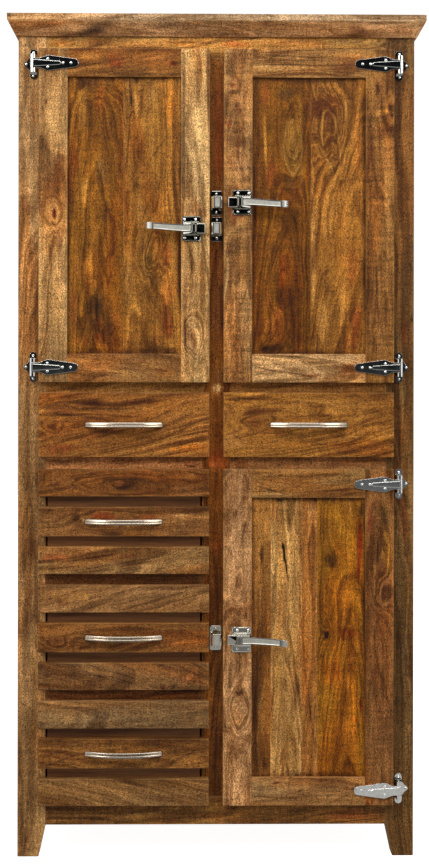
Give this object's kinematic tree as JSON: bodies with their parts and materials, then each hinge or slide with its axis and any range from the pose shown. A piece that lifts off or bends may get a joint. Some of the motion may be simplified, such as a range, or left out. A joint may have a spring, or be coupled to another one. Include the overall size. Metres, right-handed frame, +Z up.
{
  "type": "tall cabinet",
  "caption": "Tall wooden cabinet with framed overlay doors, plain and slatted drawers, a stepped crown, icebox strap hinges and lever latches.",
  "frame": {"origin": "on the floor, under the middle of the cabinet's overall box", "axes": "+X to the right as seen from the front, -Y out of the front, +Z up"},
  "size_m": [0.894, 0.426, 1.8],
  "materials": {
    "mango_wood": "oiled and waxed mango wood",
    "inner_wood": "plain oiled wood of the boxes, shelves and runners",
    "back_board": "thin back board",
    "satin_nickel": "satin nickel plate on a casting",
    "pin_steel": "turned and ground steel",
    "spring_steel": "blued spring steel"
  },
  "bodies": {
    "carcass": {"front_posts": "mango_wood", "rear_posts": "mango_wood", "centre_post": "mango_wood", "front_rails": "mango_wood", "drawer_dividers": "mango_wood", "side_rails": "mango_wood", "side_panels": "mango_wood", "back_rails": "mango_wood", "back_panels": "back_board", "bottom_board": "inner_wood", "deck_boards": "inner_wood", "upper_shelves": "inner_wood", "lower_shelf": "inner_wood", "centre_partitions": "inner_wood", "shelf_cleats": "inner_wood", "top_board": "mango_wood", "crown_moulding": "mango_wood", "drawer_runners": "inner_wood", "hinge_leaves": "satin_nickel", "hinge_pins": "pin_steel", "latch_keepers": "satin_nickel"},
    "upper_left_door": {"upper_left_door_frame": "mango_wood", "upper_left_door_panel": "mango_wood", "upper_left_door_straps": "satin_nickel", "upper_left_latch_case": "satin_nickel", "upper_left_latch_spring": "spring_steel"},
    "upper_left_lever": {"upper_left_latch_lever": "satin_nickel"},
    "upper_left_bolt": {"upper_left_latch_bolt": "pin_steel"},
    "upper_right_door": {"upper_right_door_frame": "mango_wood", "upper_right_door_panel": "mango_wood", "upper_right_door_straps": "satin_nickel", "upper_right_latch_case": "satin_nickel", "upper_right_latch_spring": "spring_steel"},
    "upper_right_lever": {"upper_right_latch_lever": "satin_nickel"},
    "upper_right_bolt": {"upper_right_latch_bolt": "pin_steel"},
    "lower_door": {"lower_door_frame": "mango_wood", "lower_door_panel": "mango_wood", "lower_door_straps": "satin_nickel", "lower_latch_case": "satin_nickel", "lower_latch_spring": "spring_steel"},
    "lower_lever": {"lower_latch_lever": "satin_nickel"},
    "lower_bolt": {"lower_latch_bolt": "pin_steel"},
    "top_left_drawer": {"top_left_drawer_front": "mango_wood", "top_left_drawer_box": "inner_wood", "top_left_drawer_handle": "satin_nickel"},
    "top_right_drawer": {"top_right_drawer_front": "mango_wood", "top_right_drawer_box": "inner_wood", "top_right_drawer_handle": "satin_nickel"},
    "bottom_slat_drawer": {"bottom_slat_drawer_front": "mango_wood", "bottom_slat_drawer_box": "inner_wood", "bottom_slat_drawer_handle": "satin_nickel"},
    "middle_slat_drawer": {"middle_slat_drawer_front": "mango_wood", "middle_slat_drawer_box": "inner_wood", "middle_slat_drawer_handle": "satin_nickel"},
    "upper_slat_drawer": {"upper_slat_drawer_front": "mango_wood", "upper_slat_drawer_box": "inner_wood", "upper_slat_drawer_handle": "satin_nickel"}
  },
  "joints": [
    {"name": "upper_left_door_hinge", "type": "hinge", "parent": "carcass", "child": "upper_left_door", "pos_m": [-0.3915, -0.1805, 1.3705], "axis": [0, 0, -1], "range_deg": [0, 170]},
    {"name": "upper_left_lever_pivot", "type": "hinge", "parent": "upper_left_door", "child": "upper_left_lever", "pos_m": [-0.049, -0.2005, 1.3425], "axis": [0, 0, 1], "range_deg": [0, 30], "stiffness_Nm_per_rad": 0.3, "springref_deg": -14.32},
    {"name": "upper_left_bolt_slide", "type": "slide", "parent": "upper_left_door", "child": "upper_left_bolt", "axis": [-1, 0, 0], "range_m": [0, 0.0061], "deforming": ["upper_left_latch_spring"]},
    {"name": "upper_right_door_hinge", "type": "hinge", "parent": "carcass", "child": "upper_right_door", "pos_m": [0.3915, -0.1805, 1.3705], "axis": [0, 0, 1], "range_deg": [0, 170]},
    {"name": "upper_right_lever_pivot", "type": "hinge", "parent": "upper_right_door", "child": "upper_right_lever", "pos_m": [0.049, -0.2005, 1.3985], "axis": [0, 0, -1], "range_deg": [0, 30], "stiffness_Nm_per_rad": 0.3, "springref_deg": -14.32},
    {"name": "upper_right_bolt_slide", "type": "slide", "parent": "upper_right_door", "child": "upper_right_bolt", "axis": [1, 0, 0], "range_m": [0, 0.0061], "deforming": ["upper_right_latch_spring"]},
    {"name": "lower_door_hinge", "type": "hinge", "parent": "carcass", "child": "lower_door", "pos_m": [0.3915, -0.1805, 0.4715], "axis": [0, 0, 1], "range_deg": [0, 170]},
    {"name": "lower_lever_pivot", "type": "hinge", "parent": "lower_door", "child": "lower_lever", "pos_m": [0.049, -0.2005, 0.468], "axis": [0, 0, -1], "range_deg": [0, 30], "stiffness_Nm_per_rad": 0.3, "springref_deg": -14.32},
    {"name": "lower_bolt_slide", "type": "slide", "parent": "lower_door", "child": "lower_bolt", "axis": [1, 0, 0], "range_m": [0, 0.0061], "deforming": ["lower_latch_spring"]},
    {"name": "top_left_drawer_slide", "type": "slide", "parent": "carcass", "child": "top_left_drawer", "axis": [0, -1, 0], "range_m": [0, 0.25]},
    {"name": "top_right_drawer_slide", "type": "slide", "parent": "carcass", "child": "top_right_drawer", "axis": [0, -1, 0], "range_m": [0, 0.25]},
    {"name": "bottom_slat_drawer_slide", "type": "slide", "parent": "carcass", "child": "bottom_slat_drawer", "axis": [0, -1, 0], "range_m": [0, 0.25]},
    {"name": "middle_slat_drawer_slide", "type": "slide", "parent": "carcass", "child": "middle_slat_drawer", "axis": [0, -1, 0], "range_m": [0, 0.25]},
    {"name": "upper_slat_drawer_slide", "type": "slide", "parent": "carcass", "child": "upper_slat_drawer", "axis": [0, -1, 0], "range_m": [0, 0.25]}
  ],
  "couplings": [
    {"joint": "upper_left_bolt_slide", "follows": "upper_left_lever_pivot", "m_per_rad": 0.01146},
    {"joint": "upper_right_bolt_slide", "follows": "upper_right_lever_pivot", "m_per_rad": 0.01146},
    {"joint": "lower_bolt_slide", "follows": "lower_lever_pivot", "m_per_rad": 0.01146}
  ]
}
